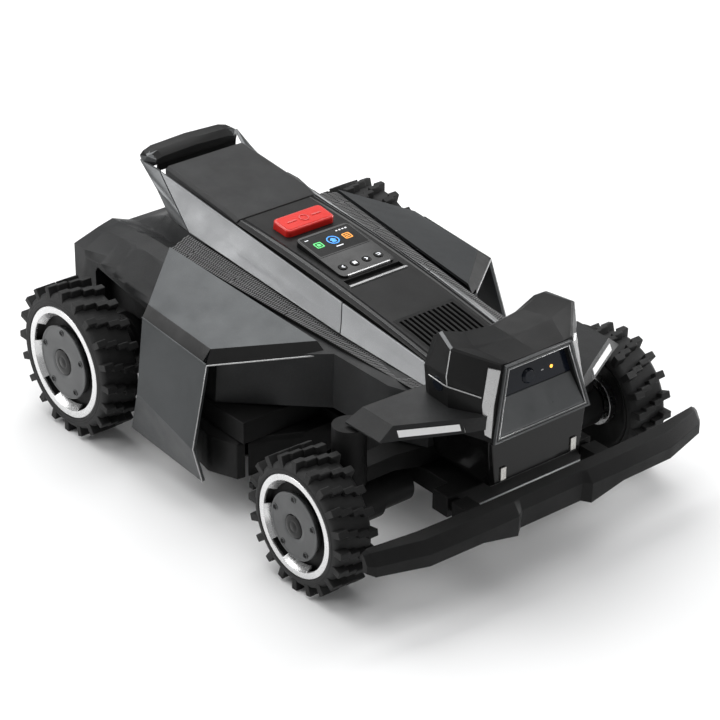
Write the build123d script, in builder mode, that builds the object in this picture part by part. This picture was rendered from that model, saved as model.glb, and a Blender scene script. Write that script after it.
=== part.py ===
from build123d import *
import os

# A four-wheel-drive robotic lawn mower, in millimetres. +Z is up, the front faces -Y and +X is the
# mower's left. The origin is on the ground, under the middle of the body's box.

os.makedirs("parts", exist_ok=True)

# ---- driving dimensions ---------------------------------------------------------------------------
HALF_WIDTH = 254.0
REAR_AXLE_Y, FRONT_AXLE_Y = 255.0, -197.0
REAR_RADIUS, FRONT_RADIUS = 95.5, 83.2
REAR_RIM, FRONT_RIM = 72.0, 62.7
TREAD_WIDTH = 54.0
LUG_HEIGHT, LUG_WIDTH = 9.0, 10.0
LUG_COUNT = 20
KINGPIN_X = 174.0
KINGPIN_RADIUS = 8.0
STUB_RADIUS = 6.0
RUNNING_FIT = 0.05
GAP = 0.3
WALL = 3.0
DISC_X, DISC_Y, DISC_Z = 102.0, 60.0, 40.0
DISC_RADIUS = 72.0
BLADE_COUNT = 3
BLADE_PIVOT_RADIUS = 62.0
BLADE_REACH = 27.0
SIDES = ((1, "left"), (-1, "right"))


def spine_z(y):
    """Height of the panel surface on the spine, which drops towards the front."""
    fall = 0.00019 * (y - 150.0) ** 2
    return 265.4 + 0.05 * (y - 150.0) - fall


def rectangle_between(front, rear, inward, wall):
    """The plane and length of a wall's section that runs from a front point to a rear point."""
    run = Vector(*rear) - Vector(*front)
    normal = run.cross(Vector(*inward))
    middle = (Vector(*rear) + Vector(*front)) * 0.5
    depth = normal.cross(run).normalized()
    centre = middle + depth * (wall / 2.0) * (1 if depth.dot(Vector(*inward)) > 0 else -1)
    return Plane(origin=centre, x_dir=run, z_dir=normal), run.length


def bent_panel(fronts, rears, inwards, wall=WALL):
    """A wall of constant thickness through pairs of front and rear corner points."""
    with BuildPart() as panel:
        for front, rear, inward in zip(fronts, rears, inwards):
            plane, length = rectangle_between(front, rear, inward, wall)
            with BuildSketch(plane):
                Rectangle(length, wall)
        loft(ruled=True)
    return panel.part


def across(points, side):
    """The same points on the left (1) or on the right (-1) of the body."""
    return [(side * x, y, z) for x, y, z in points]


def mirrored_outline(points):
    """A closed outline from its half at +X, listed from the top centre down to the bottom."""
    return points + [(-x, z) for x, z in reversed(points) if x > 0]


def loft_along_y(stations):
    """A body through outlines in XZ, given as (y, points), in order."""
    with BuildPart() as body:
        for y, points in stations:
            with BuildSketch(Plane.XZ.offset(-y)):
                with BuildLine():
                    Polyline(*points, close=True)
                make_face()
        loft(ruled=True)
    return body.part


def loft_along_x(stations):
    """A body through outlines in YZ, given as (x, points), in order."""
    with BuildPart() as body:
        for x, points in stations:
            with BuildSketch(Plane.YZ.offset(x)):
                with BuildLine():
                    Polyline(*points, close=True)
                make_face()
        loft(ruled=True)
    return body.part


def block(low, high):
    """A box between two corners."""
    size = [h - l for l, h in zip(low, high)]
    centre = [(h + l) / 2.0 for l, h in zip(low, high)]
    return Pos(*centre) * Box(*size, mode=Mode.PRIVATE)


def rod(start, end, radius):
    """A round bar between two points."""
    run = Vector(*end) - Vector(*start)
    middle = (Vector(*end) + Vector(*start)) * 0.5
    return Plane(origin=middle, z_dir=run) * Cylinder(radius, run.length, mode=Mode.PRIVATE)


def save(piece, name):
    """Labels a finished piece and writes it."""
    piece.part.label = name
    export_step(piece.part, f"parts/{name}.step")


# ---- chassis --------------------------------------------------------------------------------------
TRAY_FLOOR = 66.0
BAY_FRONT, BAY_REAR = -44.0, 164.0
NARROW_HALF, WIDE_HALF = 88.0, 148.0
DECK_FRONT, DECK_REAR, DECK_TOP = -40.0, 152.0, 100.0
ARM_X = 98.0

with BuildPart() as chassis_tray:
    add(block((-NARROW_HALF, -290, 84), (NARROW_HALF, BAY_FRONT, 110)))
    add(block((-WIDE_HALF, BAY_REAR, TRAY_FLOOR), (WIDE_HALF, 322, 128)))
    add(block((-205, BAY_FRONT, DECK_TOP + 0.02), (205, 150, 128)))
    add(block((-WIDE_HALF, 150, DECK_TOP + 0.02), (WIDE_HALF, BAY_REAR, 128)))
    # guides at the front corners, in which the bumper's two arms slide
    for side, _ in SIDES:
        add(block((side * ARM_X - 11, -290, 84), (side * ARM_X + 11, -264, 110)))
        add(block((side * ARM_X - 6.3, -291, 92.2), (side * ARM_X + 6.3, -256, 103.8)), mode=Mode.SUBTRACT)
    # battery compartment, open underneath, and the two motor bays that lift with the carriage
    add(block((-70, 186, TRAY_FLOOR - 1), (70, 310, 122)), mode=Mode.SUBTRACT)
    for side, _ in SIDES:
        with Locations((side * DISC_X, DISC_Y, DECK_TOP)):
            Cylinder(36, 50, align=(Align.CENTER, Align.CENTER, Align.MIN), mode=Mode.SUBTRACT)
    add(block((-26, 4, DECK_TOP - 1), (26, 116, 124)), mode=Mode.SUBTRACT)
    # sockets for the rear gear motors
    for side, _ in SIDES:
        add(
            rod((side * 96, REAR_AXLE_Y, REAR_RADIUS), (side * 149, REAR_AXLE_Y, REAR_RADIUS), 26),
            mode=Mode.SUBTRACT,
        )
save(chassis_tray, "chassis_tray")

with BuildPart() as battery_pack:
    add(block((-66, 190, 74), (66, 306, 120)))
    fillet(battery_pack.edges().filter_by(Axis.Z), 6)
save(battery_pack, "battery_pack")

with BuildPart() as battery_cover:
    add(block((-78, 178, 62), (78, 318, TRAY_FLOOR)))
    add(block((-69.5, 186.5, TRAY_FLOOR), (69.5, 309.5, 70)))
    fillet(battery_cover.edges().filter_by(Axis.Z).group_by(Axis.Z)[0], 6)
    with Locations(*[(sx * 73.5, y, 62) for sx in (-1, 1) for y in (184, 248, 312)]):
        Hole(2.1, 10)
save(battery_cover, "battery_cover")

with BuildPart() as chassis_screws:
    for sx in (-1, 1):
        for y in (184, 248, 312):
            with Locations((sx * 73.5, y, 62)):
                Cylinder(2.0, 3.9, align=(Align.CENTER, Align.CENTER, Align.MIN))
                Cylinder(3.6, 2.2, align=(Align.CENTER, Align.CENTER, Align.MAX))
save(chassis_screws, "chassis_screws")

# ---- front axle beam with the two steering columns ------------------------------------------------
COLUMN_RADIUS, COLUMN_LOW, COLUMN_TOP = 20.0, 112.0, 186.0

with BuildPart() as front_axle_beam:
    add(loft_along_x([
        (-186, [(-211, 112), (-183, 112), (-183, 131), (-211, 131)]),
        (-120, [(-211, 112), (-183, 112), (-183, 132), (-211, 132)]),
        (-90, [(-219, 110.02), (-175, 110.02), (-175, 134), (-219, 134)]),
        (90, [(-219, 110.02), (-175, 110.02), (-175, 134), (-219, 134)]),
        (120, [(-211, 112), (-183, 112), (-183, 132), (-211, 132)]),
        (186, [(-211, 112), (-183, 112), (-183, 131), (-211, 131)]),
    ]))
    for side, _ in SIDES:
        add(rod((side * KINGPIN_X, FRONT_AXLE_Y, COLUMN_LOW), (side * KINGPIN_X, FRONT_AXLE_Y, COLUMN_TOP),
                COLUMN_RADIUS))
        add(
            rod((side * KINGPIN_X, FRONT_AXLE_Y, COLUMN_LOW - 1), (side * KINGPIN_X, FRONT_AXLE_Y, 150),
                KINGPIN_RADIUS + RUNNING_FIT),
            mode=Mode.SUBTRACT,
        )
save(front_axle_beam, "front_axle_beam")

# ---- rear gear motors -----------------------------------------------------------------------------
HUB_INNER_X = 199.0
MOTOR_RADIUS = 24.0

with BuildPart() as rear_gearmotors:
    for side, _ in SIDES:
        add(rod((side * 98, REAR_AXLE_Y, REAR_RADIUS), (side * 196, REAR_AXLE_Y, REAR_RADIUS), MOTOR_RADIUS))
        add(rod((side * 149, REAR_AXLE_Y, REAR_RADIUS), (side * 160, REAR_AXLE_Y, REAR_RADIUS), 34))
        add(rod((side * 196, REAR_AXLE_Y, REAR_RADIUS), (side * 226, REAR_AXLE_Y, REAR_RADIUS), STUB_RADIUS))
save(rear_gearmotors, "rear_gearmotors")

# ---- steering knuckles, each with its drive motor -------------------------------------------------
for side, name in SIDES:
    with BuildPart() as knuckle:
        add(rod((side * 96, FRONT_AXLE_Y, FRONT_RADIUS), (side * 196, FRONT_AXLE_Y, FRONT_RADIUS), 22))
        add(rod((side * 142, FRONT_AXLE_Y, FRONT_RADIUS), (side * 194, FRONT_AXLE_Y, FRONT_RADIUS), 27))
        add(rod((side * 196, FRONT_AXLE_Y, FRONT_RADIUS), (side * 226, FRONT_AXLE_Y, FRONT_RADIUS), STUB_RADIUS))
        add(rod((side * KINGPIN_X, FRONT_AXLE_Y, 100), (side * KINGPIN_X, FRONT_AXLE_Y, COLUMN_LOW - GAP), 14))
        add(rod((side * KINGPIN_X, FRONT_AXLE_Y, 105), (side * KINGPIN_X, FRONT_AXLE_Y, 148), KINGPIN_RADIUS))
    save(knuckle, f"front_{name}_knuckle")

# ---- wheels ---------------------------------------------------------------------------------------


def make_tyre(axle_y, radius, rim_radius, side):
    """A chunky tyre with two staggered rows of lugs, standing on the ground."""
    carcass = radius - LUG_HEIGHT
    inner_x, outer_x = HALF_WIDTH - 1.2 - TREAD_WIDTH, HALF_WIDTH - 1.2
    with BuildPart() as tyre:
        with BuildSketch(Plane.XZ):
            with BuildLine():
                Polyline(
                    (inner_x, rim_radius), (inner_x, carcass - 10), (inner_x + 8, carcass),
                    (outer_x - 8, carcass), (outer_x, carcass - 10), (outer_x, rim_radius), close=True,
                )
            make_face()
        revolve(axis=Axis.X)
        for row, start in enumerate((0.0, 0.5)):
            width = TREAD_WIDTH / 2.0 - 3.0
            middle_x = inner_x + 1.5 + row * TREAD_WIDTH / 2.0 + width / 2.0
            lug = Pos(middle_x, 0, -(radius + carcass - 6) / 2.0) * Box(
                width, LUG_WIDTH, radius - carcass + 6, mode=Mode.PRIVATE)
            add([Rot(X=360.0 / LUG_COUNT * (number + start)) * lug for number in range(LUG_COUNT)])
    moved = Pos(0, axle_y, radius) * tyre.part
    return moved if side > 0 else mirror(moved, about=Plane.YZ)


def make_wheel(axle_y, radius, rim_radius, side):
    """A rim drum with its face ring, five spokes' pockets and a hub cover, on a stub axle."""
    outer_x = HALF_WIDTH - 1.2
    with BuildPart() as wheel:
        with BuildSketch(Plane.XZ):
            with BuildLine():
                Polyline(
                    (HUB_INNER_X, rim_radius - 4), (HUB_INNER_X, rim_radius), (outer_x, rim_radius),
                    (outer_x, rim_radius - 8), (outer_x - 8, rim_radius - 12), (outer_x - 8, rim_radius - 20),
                    (outer_x, rim_radius - 24), (outer_x, 14), (outer_x + 1.0, 13), (outer_x + 1.2, 0),
                    (HUB_INNER_X + 30, 0), (HUB_INNER_X + 30, STUB_RADIUS + RUNNING_FIT),
                    (HUB_INNER_X, STUB_RADIUS + RUNNING_FIT), (HUB_INNER_X, 16), (outer_x - 20, 18),
                    (outer_x - 20, rim_radius - 6), close=True,
                )
            make_face()
        revolve(axis=Axis.X)
    moved = Pos(0, axle_y, radius) * wheel.part
    return moved if side > 0 else mirror(moved, about=Plane.YZ)


for axle_y, radius, rim_radius, place in (
    (REAR_AXLE_Y, REAR_RADIUS, REAR_RIM, "rear"),
    (FRONT_AXLE_Y, FRONT_RADIUS, FRONT_RIM, "front"),
):
    for side, name in SIDES:
        with BuildPart() as tyre:
            add(make_tyre(axle_y, radius, rim_radius, side))
        save(tyre, f"{place}_{name}_tyre")
        with BuildPart() as wheel:
            add(make_wheel(axle_y, radius, rim_radius, side))
        save(wheel, f"{place}_{name}_wheel")

# ---- cutting deck ---------------------------------------------------------------------------------
with BuildPart() as deck_skirt:
    add(loft_along_y([
        (DECK_FRONT - 22, mirrored_outline([(0, 98), (128, 98), (134, 92), (134, 60), (0, 60)])),
        (DECK_FRONT + 8, mirrored_outline([(0, DECK_TOP), (196, DECK_TOP), (206, 94), (206, 48), (0, 48)])),
        (DECK_FRONT + 50, mirrored_outline([(0, DECK_TOP), (208, DECK_TOP), (217, 94), (217, 44), (0, 44)])),
        (DECK_REAR, mirrored_outline([(0, DECK_TOP), (180, DECK_TOP), (190, 94), (190, 44), (0, 44)])),
    ]))
    add(loft_along_y([
        (y, mirrored_outline([(0, DECK_TOP - 4), (half, DECK_TOP - 4), (half, 20), (0, 20)]))
        for y, half in ((DECK_FRONT + 3, 196), (DECK_FRONT + 50, 209), (DECK_REAR - 4, 185))
    ]), mode=Mode.SUBTRACT)
    for side, _ in SIDES:
        with Locations((side * DISC_X, DISC_Y, DECK_TOP - 5)):
            Cylinder(36, 10, mode=Mode.SUBTRACT)
    add(block((-26, 4, DECK_TOP - 6), (26, 116, DECK_TOP + 1)), mode=Mode.SUBTRACT)
    add(chassis_tray.part, mode=Mode.SUBTRACT)
save(deck_skirt, "deck_skirt")

COMB_PITCH = 13.0
with BuildPart() as comb_guards:
    for side, _ in SIDES:
        add(block((side * 20 if side > 0 else -198, -52, 40), (198 if side > 0 else -20, -44, 47.5)))
        for tooth in range(13):
            x = side * (26 + COMB_PITCH * tooth)
            add(block((x - 3, -54, 26), (x + 3, -44, 44)))
save(comb_guards, "comb_guards")

CARRIAGE_Z = 58.0
POST_RADIUS = 5.0
with BuildPart() as guide_posts:
    for y in (20, 100):
        add(rod((0, y, 44), (0, y, 124), POST_RADIUS))
save(guide_posts, "guide_posts")

with BuildPart() as cutter_carriage:
    add(block((-130, 46, CARRIAGE_Z), (130, 74, CARRIAGE_Z + 5)))
    add(block((-12, 8, CARRIAGE_Z), (12, 112, CARRIAGE_Z + 5)))
    for y in (20, 100):
        add(rod((0, y, CARRIAGE_Z), (0, y, CARRIAGE_Z + 20), 10))
    for side, _ in SIDES:
        add(rod((side * DISC_X, DISC_Y, CARRIAGE_Z), (side * DISC_X, DISC_Y, CARRIAGE_Z + 5), 32))
        add(rod((side * DISC_X, DISC_Y, 0), (side * DISC_X, DISC_Y, 90), 6.05), mode=Mode.SUBTRACT)
    for y in (20, 100):
        add(rod((0, y, 0), (0, y, 124), POST_RADIUS + RUNNING_FIT), mode=Mode.SUBTRACT)
save(cutter_carriage, "cutter_carriage")

MOTOR_TOP = CARRIAGE_Z + 5 + 34
with BuildPart() as blade_motors:
    for side, _ in SIDES:
        add(rod((side * DISC_X, DISC_Y, CARRIAGE_Z + 5), (side * DISC_X, DISC_Y, MOTOR_TOP), 30))
        add(rod((side * DISC_X, DISC_Y, CARRIAGE_Z + 5), (side * DISC_X, DISC_Y, MOTOR_TOP - 8), 6.05),
            mode=Mode.SUBTRACT)
save(blade_motors, "blade_motors")

PIVOT_SCREW = 2.5
for side, name in SIDES:
    centre_x = side * DISC_X
    with BuildPart() as disc:
        with Locations((centre_x, DISC_Y, DISC_Z)):
            Cylinder(DISC_RADIUS, 2.5, align=(Align.CENTER, Align.CENTER, Align.MIN))
            Cylinder(24, 14, align=(Align.CENTER, Align.CENTER, Align.MIN))
            Cylinder(6, 48, align=(Align.CENTER, Align.CENTER, Align.MIN))
            Cylinder(26, 6, align=(Align.CENTER, Align.CENTER, Align.MAX))
        with Locations((centre_x, DISC_Y, DISC_Z + 1)):
            with PolarLocations(46, 6):
                Cylinder(9, 6, mode=Mode.SUBTRACT)
        with Locations((centre_x, DISC_Y, DISC_Z)):
            with PolarLocations(BLADE_PIVOT_RADIUS, BLADE_COUNT, start_angle=30):
                Cylinder(PIVOT_SCREW, 3.5, align=(Align.CENTER, Align.CENTER, Align.MAX))
        with Locations((centre_x, DISC_Y, DISC_Z - 3.5)):
            with PolarLocations(BLADE_PIVOT_RADIUS, BLADE_COUNT, start_angle=30):
                Cylinder(4.5, 2, align=(Align.CENTER, Align.CENTER, Align.MAX))
    save(disc, f"{name}_disc")
    for number in range(BLADE_COUNT):
        place = Plane(origin=(centre_x, DISC_Y, DISC_Z - 2.2)).rotated((0, 0, 30 + 120 * number))
        with BuildPart() as blade:
            with BuildSketch(place):
                with Locations((BLADE_PIVOT_RADIUS + BLADE_REACH / 2.0 - 4, 0)):
                    RectangleRounded(BLADE_REACH + 8, 16, 2)
                with Locations((BLADE_PIVOT_RADIUS, 0)):
                    Circle(PIVOT_SCREW + 2 * RUNNING_FIT, mode=Mode.SUBTRACT)
            extrude(amount=0.9)
        save(blade, f"{name}_blade_{number + 1}")

# ---- mid shell, rear hood and main board ----------------------------------------------------------
SHELL_FRONT, SHELL_REAR = -225.8, 185.8
with BuildPart() as mid_shell:
    add(loft_along_y([
        (SHELL_FRONT, mirrored_outline([(0, 206), (60, 206), (72, 202), (80, 198), (84, 136), (0, 136)])),
        (-180, mirrored_outline([(0, 210), (86, 210), (96, 207), (105, 203), (106, 136), (0, 136)])),
        (-90, mirrored_outline([(0, 214), (86, 214), (98, 210), (109, 206), (110, 136), (0, 136)])),
        (16, mirrored_outline([(0, 221), (86, 221), (112, 215), (196, 188), (200, 128.02), (0, 128.02)])),
        (130, mirrored_outline([(0, 225), (86, 225), (122, 224), (196, 196), (200, 128.02), (0, 128.02)])),
        (SHELL_REAR, mirrored_outline([(0, 226), (86, 226), (112, 217), (150, 186), (150, 128.02), (0, 128.02)])),
    ]))
    add(block((-82, -80, 127), (82, 180, 204)), mode=Mode.SUBTRACT)
save(mid_shell, "mid_shell")

with BuildPart() as main_board:
    add(block((-70, -66, 140), (70, 120, 142)))
    add(block((-40, -40, 142), (-6, 0, 152)))
    add(block((10, 20, 142), (52, 60, 150)))
    add(block((-56, 70, 142), (-30, 110, 158)))
    for sx in (-1, 1):
        for y in (-60, 112):
            add(rod((sx * 64, y, 128), (sx * 64, y, 140), 4))
save(main_board, "main_board")


# ---- spine: side rails, cover, handle and control panel -------------------------------------------
RAIL_FOOT_X = 90.0
SEAM_Y = -51.0
PANEL_HALF = 61.0
HANDLE_TOP = 299.0

rear_rail_parts, front_rail_parts, mesh_parts = [], [], []
for side, _ in SIDES:
    inward = [(-side, 0, -0.2), (-side, 0, -0.6), (-side, 0, -0.8)]
    rear_rail_parts.append(bent_panel(
        across([(67, SEAM_Y, 242.4), (80, -66, 229), (RAIL_FOOT_X, -76, 219.9)], side),
        across([(66, 304.5, 278.5), (79.3, 252.6, 254.1), (89, 215, 236.5)], side),
        inward,
    ))
    front_rail_parts.append(bent_panel(
        across([(62, -214, 221), (70, -224, 213), (78, -228, 206.5)], side),
        across([(67, SEAM_Y - 1.5, 242.2), (80, -67.5, 228.8), (RAIL_FOOT_X, -77.5, 219.7)], side),
        inward,
    ))
    mesh_parts.append(bent_panel(
        across([(78.5, -222, 206.4), (92, -206, 205.5)], side),
        across([(91, 213, 234.4), (129, 197, 232.6)], side),
        [(0, 0, -1), (0, 0, -1)],
        2.0,
    ))

with BuildPart() as side_rails:
    add(rear_rail_parts)
    add(front_rail_parts)
    add(mid_shell.part, mode=Mode.SUBTRACT)
save(side_rails, "side_rails")

with BuildPart() as mesh_strips:
    add(mesh_parts)
    add(side_rails.part, mode=Mode.SUBTRACT)
    add(mid_shell.part, mode=Mode.SUBTRACT)
save(mesh_strips, "mesh_strips")

COVER_FRONT, COVER_REAR = 176.0, 300.5


def cap_outline(half, top, depth):
    """Half of a cap's section: a flat top with a bevelled edge, solid down to its depth."""
    return mirrored_outline([(0, top), (half - 5, top), (half, top - 3), (half, top - depth), (0, top - depth)])


with BuildPart() as rear_cover:
    add(loft_along_y([
        (155.2, cap_outline(62, 266.9, 8)),
        (COVER_FRONT, cap_outline(63, 272.6, 12)),
        (COVER_REAR, cap_outline(61, 285.2, 14)),
    ]))
save(rear_cover, "rear_cover")

ARM_INWARD = [(-1, 0, -0.2), (-1, 0, -0.5), (-1, 0, -0.8)]
with BuildPart() as carry_handle:
    add(loft_along_y([
        (320, mirrored_outline([(0, 291), (50, 289), (60, 287), (61, 284), (58, 280), (0, 281)])),
        (329, mirrored_outline([(0, 297), (52, 295), (68, 291), (73, 286), (70, 276), (0, 274)])),
        (343, mirrored_outline([(0, HANDLE_TOP), (52, 296.5), (64, 293), (69, 288), (66, 277), (0, 275)])),
        (350, mirrored_outline([(0, 295), (48, 293), (56, 290), (59, 287), (56, 281), (0, 280)])),
    ]))
    for side, _ in SIDES:
        add(bent_panel(
            across([(66.4, 306, 278.9), (79.5, 254.4, 254.4), (88.8, 217, 237.2)], side),
            across([(75.5, 334, 287), (80, 292, 262), (83, 262, 236.6)], side),
            [(side * x, y, z) for x, y, z in ARM_INWARD],
            4.0,
        ))
    add(rear_cover.part, mode=Mode.SUBTRACT)
    add(side_rails.part, mode=Mode.SUBTRACT)
save(carry_handle, "carry_handle")

STOP_PLANE = Plane(origin=(0, 103, 272.05), x_dir=(1, 0, 0), z_dir=(0, -0.1345, 0.991))
STOP_LENGTH, STOP_WIDTH, STOP_HEIGHT, STOP_TRAVEL = 72.0, 32.0, 16.5, 4.0
ISLAND_PLANE = Plane(origin=(0, 24.5, 260.7), x_dir=(1, 0, 0), z_dir=(0, -0.1454, 0.9893))
ISLAND_LENGTH, ISLAND_HALF = 92.0, 40.0
GLASS_LENGTH, GLASS_HALF = 41.0, 36.5
KEY_RADIUS, KEY_ROW = 5.5, -29.0
KEYS = (("back", -27.0), ("start", -9.0), ("confirm", 9.0), ("home", 27.0))
VENT_REAR, VENT_FRONT, VENT_HALF = -117.0, -212.0, 45.0
SLOT_REAR, SLOT_FRONT, SLOT_HALF = -24.0, -35.5, 42.0

with BuildPart() as control_panel:
    add(loft_along_y([
        (y, cap_outline(PANEL_HALF - max(0.0, -40 - y) * 0.02, spine_z(y), depth))
        for y, depth in ((155.0, 16), (104, 16), (40, 16), (-24, 14), (-90, 12), (-150, 10), (-214, 9))
    ]))
    with BuildSketch(STOP_PLANE):
        RectangleRounded(STOP_LENGTH + 2 * GAP, STOP_WIDTH + 2 * GAP, 6)
    extrude(amount=-(STOP_HEIGHT + STOP_TRAVEL + GAP), mode=Mode.SUBTRACT)
    with BuildSketch(ISLAND_PLANE):
        RectangleRounded(2 * ISLAND_HALF, ISLAND_LENGTH, 8)
    extrude(amount=-9, mode=Mode.SUBTRACT)
    add(block((-VENT_HALF, VENT_FRONT, 205), (VENT_HALF, VENT_REAR, 260)), mode=Mode.SUBTRACT)
    add(block((-SLOT_HALF, SLOT_FRONT, spine_z(-30) - 4), (SLOT_HALF, SLOT_REAR, 270)), mode=Mode.SUBTRACT)
    add(block((-SLOT_HALF - 1, SLOT_FRONT - 4, spine_z(-37) - 1), (SLOT_HALF + 1, SLOT_FRONT, 270)),
        mode=Mode.SUBTRACT)
save(control_panel, "control_panel")

with BuildPart() as vent_grille:
    add(loft_along_y([
        (y, [(-VENT_HALF, spine_z(y)), (VENT_HALF, spine_z(y)), (VENT_HALF, spine_z(y) - 8),
             (-VENT_HALF, spine_z(y) - 8)])
        for y in (VENT_REAR, -150.0, VENT_FRONT)
    ]))
    for number in range(12):
        x = -38.5 + 7.0 * number
        add(block((x - 1.8, VENT_FRONT + 5, 200), (x + 1.8, VENT_REAR - 5, 270)), mode=Mode.SUBTRACT)
save(vent_grille, "vent_grille")

with BuildPart() as stop_button:
    with BuildSketch(STOP_PLANE):
        RectangleRounded(STOP_LENGTH, STOP_WIDTH, 6)
    extrude(amount=-STOP_HEIGHT)
    top_edges = stop_button.faces().sort_by(Axis.Z)[-1].edges()
    fillet(top_edges, 2.0)
save(stop_button, "stop_button")

with BuildPart() as screen_housing:
    with BuildSketch(ISLAND_PLANE):
        RectangleRounded(2 * ISLAND_HALF, ISLAND_LENGTH, 8)
    extrude(amount=-9)
    with BuildSketch(ISLAND_PLANE):
        with Locations((0, 21.25)):
            RectangleRounded(2 * GLASS_HALF, GLASS_LENGTH, 2)
    extrude(amount=-1.5, mode=Mode.SUBTRACT)
    with BuildSketch(ISLAND_PLANE):
        with Locations(*[(x, KEY_ROW) for _, x in KEYS]):
            Circle(KEY_RADIUS + GAP)
    extrude(amount=-4.5, mode=Mode.SUBTRACT)
    with BuildSketch(ISLAND_PLANE):
        with Locations((0, -ISLAND_LENGTH / 2.0)):
            Rectangle(64, 5)
    extrude(amount=-4, mode=Mode.SUBTRACT)
    add(block((-SLOT_HALF, SLOT_FRONT, 200), (SLOT_HALF, -21.6, 290)), mode=Mode.SUBTRACT)
save(screen_housing, "screen_housing")

with BuildPart() as display_glass:
    with BuildSketch(ISLAND_PLANE):
        with Locations((0, 21.25)):
            RectangleRounded(2 * GLASS_HALF, GLASS_LENGTH, 2)
    extrude(amount=-1.5)
save(display_glass, "display_glass")

with BuildPart() as panel_trims:
    with BuildSketch(ISLAND_PLANE):
        with Locations((0, -ISLAND_LENGTH / 2.0 + 1.25)):
            Rectangle(64, 2.5)
    extrude(amount=-4)
    add(block((-SLOT_HALF - 1, SLOT_FRONT - 4, spine_z(-37) - 1), (SLOT_HALF + 1, SLOT_FRONT, spine_z(-37) + 1)))
    add(control_panel.part, mode=Mode.SUBTRACT)
save(panel_trims, "panel_trims")

for name, x in KEYS:
    with BuildPart() as key:
        with BuildSketch(ISLAND_PLANE.offset(1.0)):
            with Locations((x, KEY_ROW)):
                Circle(KEY_RADIUS)
        extrude(amount=-4)
        chamfer(key.faces().sort_by(Axis.Z)[-1].edges(), 0.5)
    save(key, f"{name}_key")

# ---- side pods -------------------------------------------------------------------------------------
pods = []
for side, name in SIDES:
    top_panel = bent_panel(
        across([(115, -66, 215), (204.5, 17, 199), (218, 14, 188)], side),
        across([(130, 197.9, 236.4), (205, 139, 207), (218, 133, 196)], side),
        [(0, 0, -1), (-side * 0.3, 0, -1), (-side, 0, -0.9)],
        WALL + 1,
    )
    side_panel = bent_panel(
        across([(218, 7, 185.8), (245, 0, 88), (231, 2, 38)], side),
        across([(218, 133, 195.8), (240, 117, 110), (229, 147, 45)], side),
        [(-side, 0, -0.25), (-side, 0, 0), (-side, 0, 0.3)],
        WALL + 1,
    )
    with BuildPart() as pod:
        add(top_panel)
        add(side_panel)
        add(mid_shell.part, mode=Mode.SUBTRACT)
        add(mesh_strips.part, mode=Mode.SUBTRACT)
    save(pod, f"{name}_side_pod")
    pods.append(pod)

# ---- rear hood between the wheels -------------------------------------------------------------------
HOOD_SIDE = 168.0
HOOD_LOW = 110.0


def hood_outline(hump, valley, ridge, shoulder, crease_z):
    """Half of the hood's section: a hump under the rails, a valley, a ridge and a sloping shoulder."""
    return mirrored_outline([(0, hump[1]), hump, valley, ridge, shoulder, (HOOD_SIDE, crease_z),
                             (HOOD_SIDE, HOOD_LOW), (0, HOOD_LOW)])


with BuildPart() as rear_hood:
    add(loft_along_y([
        (186, hood_outline((85, 231), (92, 212), (112, 219), (134, 213), 172.5)),
        (240, hood_outline((84, 234), (91, 211), (112, 219), (134, 214), 181)),
        (264, hood_outline((78, 234), (90, 210), (112, 219), (134, 215), 185)),
        (290, hood_outline((71, 226), (90, 209.5), (112, 219), (134, 215), 189)),
        (326, hood_outline((68, 210), (88, 209), (112, 218), (132, 213), 195)),
        (348, hood_outline((64, 203), (86, 203), (110, 212), (130, 207), 195)),
    ]))
    # wheel arches, open at the sides, and the room inside for the battery and its motors
    for side, _ in SIDES:
        arch = [(120, 90), (303, 90), (303, 174), (298, 181), (197, 165), (120, 152)]
        add(loft_along_x([(side * 148.8, arch), (side * (HOOD_SIDE + 1), arch)]), mode=Mode.SUBTRACT)
    add(block((-140, 206, 90), (140, 314, 196)), mode=Mode.SUBTRACT)
    add(block((-149.5, 100, 90), (149.5, 324, 128.02)), mode=Mode.SUBTRACT)
    for neighbour in (side_rails, mesh_strips, carry_handle, rear_cover, *pods):
        add(neighbour.part, mode=Mode.SUBTRACT)
save(rear_hood, "rear_hood")

# ---- camera head ----------------------------------------------------------------------------------
HEAD_REAR = -226.0
HEAD_TILT = Plane(origin=(0, -323, 179.1), x_dir=(1, 0, 0), z_dir=(0, -0.9905, 0.1379))
BEZEL_TALL, BEZEL_LOW_HALF, BEZEL_TOP_HALF, BEZEL_DEPTH = 86.3, 72.0, 48.5, 4.0
HEAD_STATIONS = (
    (HEAD_REAR, [(0, 262), (42, 267), (70, 279), (80, 277), (92, 245), (85, 180)]),
    (-235, [(0, 268), (44, 274), (75, 285), (80, 284.5), (95, 250), (88, 180)]),
    (-268, [(0, 267), (58, 272), (88, 282.4), (92, 281), (97, 250), (89, 180)]),
    (-311, [(0, 264), (40, 264.2), (47, 264.6), (50, 264), (62, 225), (74, 180)]),
    (-326, [(0, 262), (38, 262.2), (45, 262.4), (48, 262), (59, 225), (72, 180)]),
)


def tilted_trapezoid(inset, low, high):
    """A trapezoid on the head's tilted face, from a low to a high line, inside the bezel's outline."""
    def half(v):
        return BEZEL_LOW_HALF + (BEZEL_TOP_HALF - BEZEL_LOW_HALF) * v / BEZEL_TALL - inset
    return [(-half(low), low), (half(low), low), (half(high), high), (-half(high), high)]


def tilted_solid(points, front, back):
    """A prism on the head's tilted face between two depths behind that face."""
    with BuildPart() as prism:
        with BuildSketch(HEAD_TILT.offset(-front)):
            with BuildLine():
                Polyline(*points, close=True)
            make_face()
        extrude(amount=-(back - front))
    return prism.part


BEZEL_BAND = 6.0
WINDOW_LOW, POCKET_DEPTH, GLASS_DEPTH = 46.0, 14.0, 10.0
pocket_outline = tilted_trapezoid(BEZEL_BAND, BEZEL_BAND, BEZEL_TALL - BEZEL_BAND)

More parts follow.
